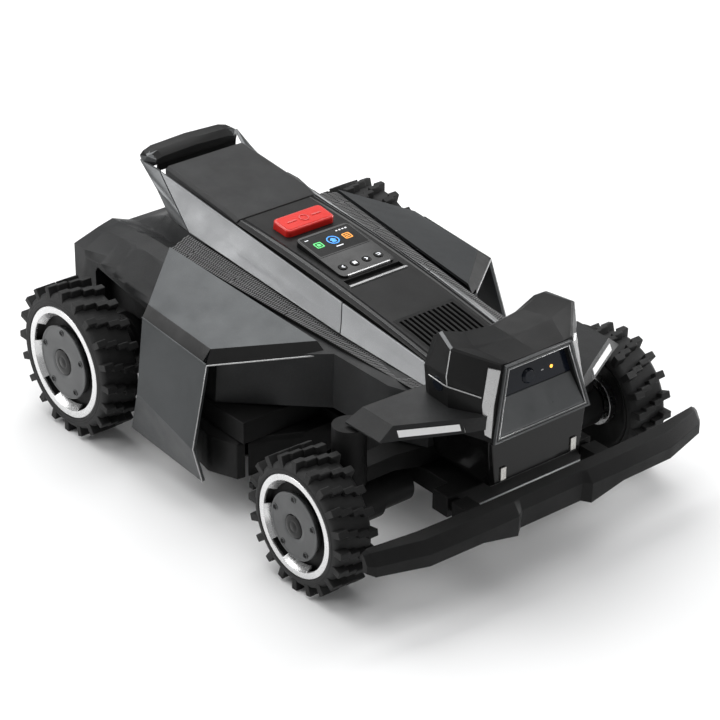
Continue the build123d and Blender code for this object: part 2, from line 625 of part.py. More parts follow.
with BuildPart() as head_bezel:
    add(tilted_solid(tilted_trapezoid(0, 0, BEZEL_TALL), 0, BEZEL_DEPTH))
    add(tilted_solid(pocket_outline, -1, BEZEL_DEPTH + 1), mode=Mode.SUBTRACT)
save(head_bezel, "head_bezel")

with BuildPart() as head_housing:
    add(loft_along_y([(y, mirrored_outline(points + [(0, 180)])) for y, points in HEAD_STATIONS]))
    add(tilted_solid([(-200, -60), (200, -60), (200, 160), (-200, 160)], -60, BEZEL_DEPTH), mode=Mode.SUBTRACT)
    add(tilted_solid(pocket_outline, 0, POCKET_DEPTH), mode=Mode.SUBTRACT)
    add(loft_along_y([
        (-232, mirrored_outline([(0, 250), (66, 250), (74, 184), (0, 184)])),
        (-298, mirrored_outline([(0, 250), (46, 250), (60, 184), (0, 184)])),
    ]), mode=Mode.SUBTRACT)
    for side, _ in SIDES:
        add(rod((side * 84, -252, 234), (side * 110, -252, 234), 9), mode=Mode.SUBTRACT)
    for neighbour in (control_panel, vent_grille, side_rails):
        add(neighbour.part, mode=Mode.SUBTRACT)
save(head_housing, "head_housing")

with BuildPart() as head_window:
    add(tilted_solid(tilted_trapezoid(BEZEL_BAND, WINDOW_LOW, BEZEL_TALL - BEZEL_BAND), GLASS_DEPTH, POCKET_DEPTH))
    for u, radius in ((-9.3, 9.0), (25.6, 2.0)):
        with Locations(HEAD_TILT.offset(-GLASS_DEPTH) * Pos(u, 60.0, 0)):
            Cylinder(radius, 10, mode=Mode.SUBTRACT)
save(head_window, "head_window")

with BuildPart() as camera_lenses:
    with Locations(HEAD_TILT.offset(-POCKET_DEPTH) * Pos(-9.3, 60.0, 0)):
        Cylinder(9.0, POCKET_DEPTH - 7, align=(Align.CENTER, Align.CENTER, Align.MIN))
    front_ring = camera_lenses.faces().sort_by(Axis.Y)[0].edges()
    chamfer(front_ring, 2.5)
    for side, _ in SIDES:
        add(rod((side * 84, -252, 234), (side * 95, -252, 234), 9))
save(camera_lenses, "camera_lenses")

with BuildPart() as status_led:
    with Locations(HEAD_TILT.offset(-POCKET_DEPTH) * Pos(25.6, 60.0, 0)):
        Cylinder(2.0, POCKET_DEPTH - GLASS_DEPTH + 0.5, align=(Align.CENTER, Align.CENTER, Align.MIN))
save(status_led, "status_led")

with BuildPart() as lip_panel:
    add(tilted_solid(tilted_trapezoid(BEZEL_BAND + 1, BEZEL_BAND, WINDOW_LOW), 0.5, POCKET_DEPTH))
    cut_front = Plane(HEAD_TILT.offset(-GLASS_DEPTH + 1) * Pos(0, WINDOW_LOW, 0)).rotated((-13, 0, 0))
    with BuildSketch(cut_front):
        Rectangle(200, 200)
    extrude(amount=60, mode=Mode.SUBTRACT)
save(lip_panel, "lip_panel")

NOSE_LOW = 119.0
with BuildPart() as nose_cone:
    add(loft_along_y([
        (-226.2, mirrored_outline([(0, 179.9), (82, 179.9), (74, 128), (0, 128)])),
        (-312, mirrored_outline([(0, 179.9), (73, 179.9), (67, NOSE_LOW), (0, NOSE_LOW)])),
        (-317, mirrored_outline([(0, 176), (70, 176), (64, NOSE_LOW + 4), (0, NOSE_LOW + 4)])),
    ]))
    add(block((-56, -300, 100), (56, -220, 172)), mode=Mode.SUBTRACT)
save(nose_cone, "nose_cone")

with BuildPart() as charging_contacts:
    for side, _ in SIDES:
        add(block((side * 53 - 4, -319, 126), (side * 53 + 4, -312, 142)))
    add(nose_cone.part, mode=Mode.SUBTRACT)
save(charging_contacts, "charging_contacts")

# ---- front fenders with light strips --------------------------------------------------------------
light_parts = []
for side, name in SIDES:
    strip = bent_panel(
        across([(96, -301.4, 194.2), (96, -298, 202)], side),
        across([(157, -267, 192.0), (150, -268, 197.5)], side),
        [(-side * 0.5, 1, 0), (-side * 0.5, 1, 0)],
        3.0,
    )
    with BuildPart() as fender:
        add(loft_along_x([
            (side * 73.2, [(-217, 212), (-309, 209), (-309, 193), (-217, 190)]),
            (side * 98, [(-213, 211), (-294, 208.5), (-301, 193.5), (-217, 190)]),
            (side * 162, [(-205, 207), (-257, 206.6), (-265, 191), (-199, 189)]),
            (side * 180, [(-197, 191.2), (-256, 192), (-256, 190.5), (-197, 189)]),
        ]))
        for neighbour in (head_housing, head_bezel, nose_cone, mid_shell, mesh_strips, side_rails):
            add(neighbour.part, mode=Mode.SUBTRACT)
        add(strip, mode=Mode.SUBTRACT)
    light_parts.append(strip)
    save(fender, f"{name}_fender")

with BuildPart() as light_strips:
    add(light_parts)
save(light_strips, "light_strips")

# ---- bumper ---------------------------------------------------------------------------------------
FRONT = -350.5
BUMPER_HALF = [
    (0, [(-326, 113), (-338, 109), (-344, 96), (-342, 72), (-326, 72)]),
    (46, [(-326, 113), (-338, 109), (-344, 96), (-342, 72), (-326, 72)]),
    (56, [(-326, 113), (-340, 109), (FRONT, 95), (FRONT + 1, 69), (-326, 70)]),
    (107, [(-326, 113), (-340, 109), (FRONT, 95), (FRONT + 1, 80), (-326, 78)]),
    (183, [(-324, 113), (-338, 109), (-348.5, 95), (-348, 79.7), (-324, 78)]),
    (246, [(-316, 112.5), (-322, 109), (-332, 96), (-331.8, 82.9), (-318, 82)]),
    (253, [(-315, 108), (-319, 106), (-325, 96), (-324, 86), (-318, 85)]),
]
with BuildPart() as bumper:
    add(loft_along_x([(-x, points) for x, points in reversed(BUMPER_HALF)] + BUMPER_HALF[1:]))
    for side, _ in SIDES:
        add(block((side * ARM_X - 11, -327, 88), (side * ARM_X + 11, -297, 108)))
        add(block((side * ARM_X - 6, -298, 92.5), (side * ARM_X + 6, -262, 103.5)))
save(bumper, "bumper")
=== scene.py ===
"""Looks for a four-wheel robotic lawn mower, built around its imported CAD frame."""
import math

import bmesh
import bpy
from mathutils import Matrix, Vector


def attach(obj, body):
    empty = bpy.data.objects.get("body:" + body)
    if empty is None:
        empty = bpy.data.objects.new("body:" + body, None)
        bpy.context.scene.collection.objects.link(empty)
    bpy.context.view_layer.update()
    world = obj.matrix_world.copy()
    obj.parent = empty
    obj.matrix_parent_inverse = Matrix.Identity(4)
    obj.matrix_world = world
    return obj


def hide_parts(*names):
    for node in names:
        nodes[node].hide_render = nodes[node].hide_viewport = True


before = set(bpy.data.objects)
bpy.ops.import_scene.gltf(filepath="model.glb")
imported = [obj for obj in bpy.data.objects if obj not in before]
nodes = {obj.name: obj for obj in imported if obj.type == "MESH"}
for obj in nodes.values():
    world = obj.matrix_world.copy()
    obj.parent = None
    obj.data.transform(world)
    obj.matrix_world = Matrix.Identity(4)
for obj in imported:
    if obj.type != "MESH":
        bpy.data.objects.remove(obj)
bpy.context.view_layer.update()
scene = bpy.context.scene

MM = 0.001
WELD_REACH = 0.00002  # metres
FLAT_ANGLE = 0.6      # degrees
SIDES = ((1, "left"), (-1, "right"))
WHEELS = (("rear", 255.0, 95.5, 72.0), ("front", -197.0, 83.2, 62.7))
UP = Vector((0, 0, 1))


# ---- materials ------------------------------------------------------------------------------------
def link(tree, source, output, target, socket):
    tree.links.new(source.outputs[output], target.inputs[socket])


def noise_node(tree, coords, scale, detail, distortion=0.0):
    node = tree.nodes.new("ShaderNodeTexNoise")
    node.inputs["Scale"].default_value = scale
    node.inputs["Detail"].default_value = detail
    node.inputs["Roughness"].default_value = 0.62
    node.inputs["Distortion"].default_value = distortion
    link(tree, coords, "Object", node, "Vector")
    return node


def ramp_node(tree, source, output, stops):
    node = tree.nodes.new("ShaderNodeValToRGB")
    ramp = node.color_ramp
    while len(ramp.elements) < len(stops):
        ramp.elements.new(0.5)
    for element, (place, colour) in zip(ramp.elements, stops):
        element.position = place
        element.color = (*colour, 1.0)
    link(tree, source, output, node, "Fac")
    return node


def grey(value):
    return (value, value, value)


def finish(name, dark, light, rough, patch=14.0, grain=900.0, bump=0.25, bump_size=0.00015,
           metallic=0.0, coat=0.0, specks=None, brushed=False, spread=(0.30, 0.72),
           specular=0.5):
    """A procedural finish: patches of tone, a fine grain in the bump, and wear in the roughness."""
    material = bpy.data.materials.new(name)
    material.use_nodes = True
    tree = material.node_tree
    shader = tree.nodes["Principled BSDF"]
    coords = tree.nodes.new("ShaderNodeTexCoord")
    patches = noise_node(tree, coords, patch, 9.0, 0.3)
    tone = ramp_node(tree, patches, "Fac", [(spread[0], dark), (spread[1], light)])
    fine = noise_node(tree, coords, grain, 3.0)
    if specks:
        share, colour = specks
        flecks = ramp_node(tree, fine, "Fac", [(share, grey(0.0)), (share + 0.06, grey(1.0))])
        mix = tree.nodes.new("ShaderNodeMixRGB")
        mix.inputs["Color2"].default_value = (*colour, 1.0)
        link(tree, flecks, "Color", mix, "Fac")
        link(tree, tone, "Color", mix, "Color1")
        link(tree, mix, "Color", shader, "Base Color")
    else:
        link(tree, tone, "Color", shader, "Base Color")
    wear = noise_node(tree, coords, patch * 3.1, 7.0)
    rubbed = ramp_node(tree, wear, "Fac", [(0.32, grey(max(rough - 0.07, 0.02))),
                                           (0.70, grey(min(rough + 0.08, 1.0)))])
    link(tree, rubbed, "Color", shader, "Roughness")
    relief = tree.nodes.new("ShaderNodeBump")
    relief.inputs["Strength"].default_value = bump
    relief.inputs["Distance"].default_value = bump_size
    if brushed:
        lines = tree.nodes.new("ShaderNodeTexWave")
        lines.wave_type = "RINGS"
        lines.rings_direction = "X"
        lines.inputs["Scale"].default_value = 260.0
        lines.inputs["Distortion"].default_value = 1.6
        link(tree, coords, "Object", lines, "Vector")
        link(tree, lines, "Fac", relief, "Height")
    else:
        link(tree, fine, "Fac", relief, "Height")
    link(tree, relief, "Normal", shader, "Normal")
    shader.inputs["Metallic"].default_value = metallic
    shader.inputs["Coat Weight"].default_value = coat
    shader.inputs["Coat Roughness"].default_value = 0.12
    shader.inputs["Specular IOR Level"].default_value = specular
    return material


def glow(material, colour, strength):
    """Light given off by a lamp or a lit icon."""
    shader = material.node_tree.nodes["Principled BSDF"]
    shader.inputs["Emission Color"].default_value = (*colour, 1.0)
    shader.inputs["Emission Strength"].default_value = strength
    return material


GRAPHITE = finish("graphite_shell", grey(0.013), (0.022, 0.023, 0.024), 0.46, patch=11, grain=1500, bump=0.6,
                  bump_size=0.0003, specks=(0.60, grey(0.044)), specular=0.24)
PANEL = finish("panel_shell", grey(0.008), grey(0.014), 0.42, patch=10, grain=1700, bump=0.4,
               bump_size=0.0002,
               specular=0.16)
BLACK = finish("black_plastic", grey(0.005), grey(0.010), 0.50, patch=12, grain=1300, bump=0.4,
               bump_size=0.0003,
               specular=0.16)
GLOSS = finish("gloss_black", grey(0.003), grey(0.007), 0.13, patch=9, grain=600, bump=0.05, coat=0.08,
               specular=0.18)
POD = finish("pod_satin", (0.040, 0.043, 0.045), (0.058, 0.062, 0.064), 0.36, patch=9, grain=1900, bump=0.22,
             metallic=0.55, specks=(0.63, grey(0.11)))
RAIL = finish("rail_satin", (0.155, 0.158, 0.161), (0.195, 0.199, 0.203), 0.36, patch=8, grain=2100,
              bump=0.25,
              metallic=0.75, specks=(0.62, grey(0.30)))
ARM = finish("arm_satin", (0.085, 0.088, 0.090), (0.115, 0.118, 0.120), 0.34, patch=8, grain=2100, bump=0.25,
             metallic=0.75, specks=(0.62, grey(0.25)))
TRIM = finish("trim_silver", grey(0.44), grey(0.56), 0.28, patch=12, grain=1500, bump=0.15, metallic=0.8)
BEZEL = finish("bezel_grey", (0.075, 0.078, 0.080), (0.105, 0.108, 0.110), 0.34, patch=14, grain=1500,
               bump=0.2,
               metallic=0.6)
MESH = finish("mesh_grey", grey(0.120), grey(0.170), 0.42, patch=30, grain=1200, bump=0.5)
MESH_FLOOR = finish("mesh_floor", grey(0.004), grey(0.008), 0.60, patch=30, grain=1200, bump=0.5,
                    specular=0.15)
RUBBER = finish("tread_rubber", grey(0.009), grey(0.017), 0.60, patch=16, grain=1000, bump=0.6,
                bump_size=0.0004,
                specular=0.28)
SIDEWALL = finish("sidewall_rubber", grey(0.022), grey(0.034), 0.58, patch=12, grain=1100, bump=0.5,
                  bump_size=0.0003, specular=0.2)
ALLOY = finish("ring_alloy", grey(0.70), grey(0.82), 0.26, patch=18, grain=1300, bump=0.15, metallic=0.8,
               brushed=True)
COVER = finish("hub_grey", (0.080, 0.082, 0.083), (0.110, 0.112, 0.113), 0.42, patch=15, grain=1600, bump=0.3,
               metallic=0.4)
STEEL = finish("steel", grey(0.42), grey(0.56), 0.28, patch=20, grain=1200, bump=0.2, metallic=1.0)
RED = finish("stop_red", (0.54, 0.008, 0.005), (0.64, 0.014, 0.009), 0.34, patch=12, grain=1500, bump=0.25,
             coat=0.2)
RED_TOP = finish("stop_top", (0.62, 0.022, 0.016), (0.70, 0.034, 0.025), 0.42, patch=12, grain=1500,
                 bump=0.25,
                 specular=0.2)
WHITE = finish("light_white", grey(0.82), grey(0.90), 0.30, patch=22, grain=900, bump=0.1)
# painted highlight: a light grey for thin wires along edges, standing in for the highlights light puts on
# rounded edges
PAINTED_HIGHLIGHT = finish("painted_highlight_lip", grey(0.40), grey(0.50), 0.30, patch=22, grain=1200, bump=0.15, metallic=0.5)
GLASS = finish("lens_glass", (0.003, 0.005, 0.009), (0.007, 0.009, 0.016), 0.06, patch=9, grain=500,
               bump=0.02,
               coat=0.12, specular=0.12)
SCREEN = finish("screen_glass", grey(0.002), grey(0.005), 0.12, patch=7, grain=500, bump=0.02, coat=0.0,
                specular=0.06)
NICKEL = finish("contact_nickel", (0.46, 0.45, 0.43), (0.58, 0.57, 0.54), 0.28, patch=40, bump=0.2,
                metallic=1.0)
BATTERY = finish("battery_blue", (0.02, 0.05, 0.14), (0.03, 0.07, 0.19), 0.45, patch=12)
BOARD = finish("board_green", (0.01, 0.09, 0.04), (0.02, 0.13, 0.06), 0.40, patch=20)
AMBER = glow(finish("amber_light", (0.80, 0.25, 0.02), (0.90, 0.34, 0.04), 0.30, patch=30),
             (1.0, 0.45, 0.06), 2.2)


def icon(name, colour, strength):
    dark = tuple(0.8 * channel for channel in colour)
    return glow(finish(name, dark, colour, 0.4, patch=60, grain=800), colour, strength)


ICON_WHITE = icon("icon_white", (0.75, 0.77, 0.80), 0.5)
ICON_GREEN = icon("icon_green", (0.10, 0.62, 0.18), 0.7)
ICON_BLUE = icon("icon_blue", (0.05, 0.30, 0.80), 0.8)
ICON_ORANGE = icon("icon_orange", (0.85, 0.32, 0.04), 0.7)


# ---- mesh helpers, all in millimetres -------------------------------------------------------------
def piece(name, verts, faces, body, slot, material):
    """A named mesh piece that rides on a CAD body."""
    mesh = bpy.data.meshes.new(name)
    mesh.from_pydata([Vector(v) * MM for v in verts], [], faces)
    shape = bmesh.new()
    shape.from_mesh(mesh)
    bmesh.ops.recalc_face_normals(shape, faces=shape.faces)
    shape.to_mesh(mesh)
    shape.free()
    obj = bpy.data.objects.new(name, mesh)
    scene.collection.objects.link(obj)
    mesh.materials.append(material)
    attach(obj, body)
    return obj


def soften(obj, width, segments=3, angle=28, dissolve=False):
    """Rounds the edges of a piece and shades it smoothly."""
    if dissolve:
        weld = obj.modifiers.new("weld", "WELD")
        weld.merge_threshold = WELD_REACH
        flat = obj.modifiers.new("flat", "DECIMATE")
        flat.decimate_type = "DISSOLVE"
        flat.angle_limit = math.radians(FLAT_ANGLE)
        flat.delimit = {"NORMAL", "MATERIAL"}
    if width:
        bevel = obj.modifiers.new("bevel", "BEVEL")
        bevel.width = width * MM
        bevel.segments = segments
        bevel.limit_method = "ANGLE"
        bevel.angle_limit = math.radians(angle)
        bevel.harden_normals = False
    for polygon in obj.data.polygons:
        polygon.use_smooth = True
    weighted = obj.modifiers.new("weighted", "WEIGHTED_NORMAL")
    weighted.keep_sharp = True
    weighted.weight = 100
    return obj


def skin(stations):
    """A closed body through outlines with equal numbers of points."""
    count = len(stations[0])
    verts = [point for station in stations for point in station]
    faces = []
    for row in range(len(stations) - 1):
        for i in range(count):
            j = (i + 1) % count
            faces.append([row * count + i, row * count + j, (row + 1) * count + j, (row + 1) * count + i])
    faces.append(list(range(count))[::-1])
    faces.append([(len(stations) - 1) * count + i for i in range(count)])
    return verts, faces


def merged(*parts):
    """Several (vertices, faces) sets as one."""
    verts, faces = [], []
    for part_verts, part_faces in parts:
        first = len(verts)
        verts += part_verts
        faces += [[first + i for i in face] for face in part_faces]
    return verts, faces


def turned(profile, centre_y, centre_z, side, steps=96, start=0.0, end=360.0, closed=True):
    """A profile of (x, radius) points turned about an axle along X. Angles run from +Y to +Z."""
    full = abs(end - start) > 359.9
    rings = steps if full else steps + 1
    count = len(profile)
    verts = []
    for ring in range(rings):
        angle = math.radians(start + (end - start) * ring / steps)
        for x, radius in profile:
            verts.append((side * x, centre_y + radius * math.cos(angle), centre_z + radius * math.sin(angle)))
    faces = []
    for ring in range(steps):
        after = (ring + 1) % rings
        for i in range(count if closed else count - 1):
            j = (i + 1) % count
            faces.append([ring * count + i, ring * count + j, after * count + j, after * count + i])
    if closed and not full:
        faces.append(list(range(count)))
        faces.append([(rings - 1) * count + i for i in range(count)])
    return verts, faces


class Place:
    """A flat working plane: (u, v, w) in it becomes (x, y, z) in the frame."""

    def __init__(self, origin, normal, across=(1, 0, 0)):
        self.origin = Vector(origin)
        self.w = Vector(normal).normalized()
        self.u = (Vector(across) - self.w * Vector(across).dot(self.w)).normalized()
        self.v = self.w.cross(self.u)

    def __call__(self, u, v, w=0.0):
        return tuple(self.origin + self.u * u + self.v * v + self.w * w)


def slab(place, outline, low, high):
    """A prism over an outline of (u, v) points between two heights."""
    return skin([[place(u, v, low) for u, v in outline], [place(u, v, high) for u, v in outline]])


def rounded(half_u, half_v, radius, centre=(0, 0), steps=6):
    """An outline of a rectangle with round corners."""
    points = []
    for quarter, (su, sv) in enumerate(((1, 1), (-1, 1), (-1, -1), (1, -1))):
        for step in range(steps + 1):
            angle = math.radians(90 * quarter + 90 * step / steps)
            points.append((centre[0] + su * (half_u - radius) + radius * math.cos(angle),
                           centre[1] + sv * (half_v - radius) + radius * math.sin(angle)))
    return points


def circle(radius, centre=(0, 0), steps=32):
    return [(centre[0] + radius * math.cos(2 * math.pi * i / steps),
             centre[1] + radius * math.sin(2 * math.pi * i / steps)) for i in range(steps)]


def hoop(place, outer, inner, low, high):
    """A frame between an outer and an inner outline with equal numbers of points."""
    count = len(outer)
    verts = [place(u, v, w) for outline, w in ((outer, low), (outer, high), (inner, high), (inner, low))
             for u, v in outline]
    faces = []
    for row in range(4):
        for i in range(count):
            j = (i + 1) % count
            after = (row + 1) % 4
            faces.append([row * count + i, row * count + j, after * count + j, after * count + i])
    return verts, faces


# ---- CAD nodes that are shown as they are ---------------------------------------------------------
SHOWN = {
    "rear_hood": (GRAPHITE, 3.0), "mid_shell": (GRAPHITE, 1.5), "control_panel": (PANEL, 0.8),
    "rear_cover": (GRAPHITE, 0.8), "carry_handle": (PANEL, 1.6), "side_rails": (RAIL, 0.7),
    "left_side_pod": (POD, 0.9), "right_side_pod": (POD, 0.9), "head_housing": (PANEL, 1.2),
    "head_bezel": (BEZEL, 0.5), "head_window": (GLASS, 0.3), "nose_cone": (GLOSS, 1.5),
    "lip_panel": (BEZEL, 0.6), "left_fender": (GRAPHITE, 1.0), "right_fender": (GRAPHITE, 1.0),
    "light_strips": (WHITE, 0.4), "bumper": (BLACK, 1.6), "vent_grille": (BLACK, 0.4),
    "screen_housing": (GLOSS, 0.6), "display_glass": (SCREEN, 0.2), "panel_trims": (TRIM, 0.3),
    "stop_button": (RED, 0.8), "camera_lenses": (GLASS, 0.5), "status_led": (AMBER, 0.3),
    "back_key": (BLACK, 0.2), "start_key": (BLACK, 0.2), "confirm_key": (BLACK, 0.2),
            "home_key": (BLACK, 0.2),
    "chassis_tray": (BLACK, 1.2), "battery_cover": (BLACK, 0.8), "battery_pack": (BATTERY, 0.5),
    "chassis_screws": (STEEL, 0.2), "front_axle_beam": (BLACK, 1.2), "rear_gearmotors": (BLACK, 0.8),
    "front_left_knuckle": (BLACK, 0.8), "front_right_knuckle": (BLACK, 0.8), "deck_skirt": (BLACK, 1.5),
    "comb_guards": (BLACK, 0.6), "guide_posts": (STEEL, 0.3), "cutter_carriage": (BLACK, 0.6),
    "blade_motors": (BLACK, 0.8), "left_disc": (BLACK, 0.4), "right_disc": (BLACK, 0.4),
    "main_board": (BOARD, 0.2), "charging_contacts": (NICKEL, 0.4), "mesh_strips": (MESH_FLOOR, 0.2),
}
for _, hand in SIDES:
    for number in (1, 2, 3):
        SHOWN[f"{hand}_blade_{number}"] = (STEEL, 0.15)

# nodes with a second finish, and where it is
SPLIT = {
    "carry_handle": (ARM, lambda at: abs(at.x) > 60 and at.y < 334),
}

for name, (material, width) in SHOWN.items():
    node = nodes[name]
    node.data.materials.clear()
    node.data.materials.append(material)
    if name in SPLIT:
        second, chosen = SPLIT[name]
        node.data.materials.append(second)
        for polygon in node.data.polygons:
            polygon.material_index = int(chosen(node.matrix_world @ polygon.center / MM))
    soften(node, width, dissolve=True)


# ---- wheels and tyres -----------------------------------------------------------------------------
OUTER_X, INNER_X = 252.8, 198.8
LUG_DEPTH = 9.0
LUG_INSET = 0.05  # keeps the tread inside the CAD box
LUG_ROOT = 5.5  # how far the blocks reach into the carcass
LUGS = 20
SPOKE_START, SPOKE_PITCH, NOTCH_HALF = 17.0, 72.0, 13.0
COVER_SHARE, CAP_SHARE, SCREW_SHARE, FACE_SHARE, DISH_SHARE = 0.652, 0.235, 0.55, 0.865, 0.80


def tyre_profile(radius, rim):
    """The carcass in (x, radius), with round shoulders and a thin ring on each sidewall."""
    carcass = radius - LUG_DEPTH
    half = []
    for inset, drop in ((0.0, rim - 0.2), (0.0, rim + 2.0), (0.5, rim + 2.6), (0.5, rim + 3.4),
                        (0.1, rim + 4.2),
                        (0.2, carcass - 9.5), (0.9, carcass - 8.6), (0.9, carcass - 7.8),
                                (0.4, carcass - 7.0),
                        (1.4, carcass - 3.4), (3.6, carcass - 1.0), (7.0, carcass)):
        half.append((inset, drop))
    outer = [(OUTER_X - inset, drop) for inset, drop in half]
    inner = [(INNER_X + inset, drop) for inset, drop in reversed(half)]
    return outer + inner


def lug(centre_y, centre_z, side, middle, outline, low, high):
    """A tread block from an outline of (x, arc length), bent round the tyre."""
    def ring(radius, draft):
        points = []
        for x, arc in outline:
            angle = math.radians(middle) + arc * draft / high
            points.append((side * x, centre_y + radius * math.cos(angle),
                           centre_z + radius * math.sin(angle)))
        return points
    return skin([ring(low, 1.12), ring(high - 0.8, 1.0), ring(high, 0.86)])


OUTER_LUG = [(OUTER_X - 0.6, -4.6), (OUTER_X - 0.6, 4.2), (OUTER_X - 12.0, 4.6), (OUTER_X - 13.0, 7.6),
             (OUTER_X - 27.0, 8.0), (OUTER_X - 27.0, 0.8), (OUTER_X - 15.0, 0.2), (OUTER_X - 13.5, -4.6)]
INNER_LUG = [(INNER_X + OUTER_X - x, -arc) for x, arc in OUTER_LUG]

for place, axle_y, radius, rim in WHEELS:
    carcass = radius - LUG_DEPTH
    for side, hand in SIDES:
        body = f"{place}_{hand}_wheel"
        tyre = piece(f"{place}_{hand}_carcass", *turned(tyre_profile(radius, rim), axle_y, radius, side),
                     body, "tyre_rubber", SIDEWALL)
        soften(tyre, 0)
        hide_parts(f"{place}_{hand}_tyre")
        blocks = []
        for number in range(LUGS):
            angle = 360.0 / LUGS * number
            blocks.append(lug(axle_y, radius, side, angle, OUTER_LUG, carcass - LUG_ROOT, radius - LUG_INSET))
            blocks.append(lug(axle_y, radius, side, angle + 180.0 / LUGS, INNER_LUG, carcass - LUG_ROOT,
                              radius - LUG_INSET))
        tread = piece(f"{place}_{hand}_tread", *merged(*blocks), body, "tyre_rubber", RUBBER)
        soften(tread, 1.3, 3, 40)

        face, dish, cover = FACE_SHARE * rim, DISH_SHARE * rim, COVER_SHARE * rim
        ring = piece(f"{place}_{hand}_ring", *turned(
            [(OUTER_X - 10.0, rim - 0.2), (OUTER_X - 1.4, rim - 0.2), (OUTER_X - 0.2, rim - 1.0),
             (OUTER_X, rim - 1.8),
             (OUTER_X, face + 0.8), (OUTER_X - 0.4, face), (OUTER_X - 3.0, face - 0.6),
             (OUTER_X - 4.0, face + 2.0), (OUTER_X - 10.0, rim - 3.0)], axle_y, radius, side),
            body, "wheel_alloy", ALLOY)
        soften(ring, 0)
        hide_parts(f"{place}_{hand}_wheel")
        arcs = []
        for spoke in range(5):
            middle = SPOKE_START + SPOKE_PITCH * spoke
            arcs.append(turned(
                [(OUTER_X - 0.6, face), (OUTER_X - 1.0, face + 1.6), (OUTER_X - 10.0, dish + 2.0),
                 (OUTER_X - 10.6, dish - 1.2), (OUTER_X - 9.4, dish - 0.8)], axle_y, radius, side, 16,
                middle + NOTCH_HALF, middle + SPOKE_PITCH - NOTCH_HALF))
        soften(piece(f"{place}_{hand}_dish", *merged(*arcs), body, "wheel_alloy", ALLOY), 0.4, 2, 45)
        drum = turned(
            [(INNER_X + 0.4, rim - 5.0), (INNER_X + 0.4, rim - 0.3), (OUTER_X - 6.0, rim - 0.3),
             (OUTER_X - 6.0, face + 3.0), (OUTER_X - 14.0, face + 2.4), (OUTER_X - 14.0, cover - 2.0),
             (OUTER_X - 10.0, cover - 3.0), (OUTER_X - 10.0, 7.0), (OUTER_X - 20.0, 7.0),
                     (OUTER_X - 24.0, 18.0),
             (INNER_X + 12.0, 30.0), (INNER_X + 9.0, rim - 9.0)], axle_y, radius, side)
        soften(piece(f"{place}_{hand}_drum", *drum, body, "gloss_black", BLACK), 0)
        hub_ring = turned([(INNER_X + 3.0, 21.0), (INNER_X + 3.0, 31.0), (INNER_X + 14.0, 31.5),
                           (INNER_X + 14.0, 21.0)], axle_y, radius, side, 64)
        soften(piece(f"{place}_{hand}_bearing", *hub_ring, body, "steel", STEEL), 0.8, 3)
        disc = turned([(OUTER_X - 9.0, cover - 2.6), (OUTER_X - 2.0, cover - 0.6), (OUTER_X - 1.0, cover),
                       (OUTER_X - 0.4, cover - 0.9), (OUTER_X - 0.4, cover - 3.0),
                               (OUTER_X - 0.9, cover - 3.8),
                       (OUTER_X - 0.6, cover - 5.0), (OUTER_X + 0.1, CAP_SHARE * rim + 6.0),
                       (OUTER_X - 0.2, CAP_SHARE * rim + 0.4), (OUTER_X - 2.5, CAP_SHARE * rim),
                       (OUTER_X - 9.0, CAP_SHARE * rim)], axle_y, radius, side)
        soften(piece(f"{place}_{hand}_cover", *disc, body, "wheel_alloy", COVER), 0)
        cap_radius = CAP_SHARE * rim
        cap = turned([(OUTER_X - 4.0, cap_radius - 0.3), (OUTER_X - 0.8, cap_radius - 0.4),
                      (OUTER_X + 0.2, cap_radius - 1.3),
                      (OUTER_X + 0.7, cap_radius * 0.55), (OUTER_X + 0.3, cap_radius * 0.50),
                      (OUTER_X + 0.3, cap_radius * 0.38), (OUTER_X + 0.8, cap_radius * 0.33),
                              (OUTER_X + 1.0, 0.0)],
                     axle_y, radius, side, 48, closed=False)
        soften(piece(f"{place}_{hand}_cap", *cap, body, "gloss_black", GLOSS), 0)
        screws, recesses = [], []
        for spoke in range(5):
            angle = math.radians(SPOKE_START + SPOKE_PITCH * spoke)
            y = axle_y + SCREW_SHARE * rim * math.cos(angle)
            z = radius + SCREW_SHARE * rim * math.sin(angle)
            recesses.append(turned([(OUTER_X - 1.0, 4.1), (OUTER_X + 0.15, 4.1), (OUTER_X + 0.45, 3.8),
                                    (OUTER_X + 0.45, 3.3), (OUTER_X - 0.6, 3.0)], y, z, side, 20))
            screws.append(turned([(OUTER_X - 1.0, 2.7), (OUTER_X - 0.3, 2.7), (OUTER_X + 0.1, 2.1),
                                  (OUTER_X + 0.1, 1.2), (OUTER_X - 0.7, 1.0), (OUTER_X - 0.7, 0.0)],
                                 y, z, side, 18, closed=False))
        soften(piece(f"{place}_{hand}_screw_rims", *merged(*recesses), body, "wheel_alloy", COVER), 0)
        soften(piece(f"{place}_{hand}_screws", *merged(*screws), body, "steel", BLACK), 0)


# ---- edges, lips and bands ------------------------------------------------------------------------
def between(first, second, share):
    return tuple(a + (b - a) * share for a, b in zip(first, second))


def mirrored(points, side):
    return [(side * x, y, z) for x, y, z in points]


def ribbon(first, second, outward, lift=0.4, depth=1.0):
    """A thin strip laid on a surface between two lines with equal numbers of points."""
    stations = []
    for i, (a, b) in enumerate(zip(first, second)):
        a, b = Vector(a), Vector(b)
        near, far = max(i - 1, 0), min(i + 1, len(first) - 1)
        along = Vector(first[far]) + Vector(second[far]) - Vector(first[near]) - Vector(second[near])
        normal = along.cross(b - a).normalized()
        if normal.dot(Vector(outward)) < 0:
            normal = -normal
        stations.append([a + normal * lift, b + normal * lift, b - normal * depth, a - normal * depth])
    return skin(stations)


def wire(points, radius, steps=8):
    """A thin round moulding that follows a line of points."""
    stations = []
    for i, point in enumerate(points):
        along = (Vector(points[min(i + 1, len(points) - 1)]) - Vector(points[max(i - 1, 0)])).normalized()
        across = along.cross(Vector((0.31, 0.17, 0.93))).normalized()
        upward = along.cross(across)
        stations.append([Vector(point) + (across * math.cos(turn) + upward * math.sin(turn)) * radius
                         for turn in (2 * math.pi * k / steps for k in range(steps))])
    return skin(stations)


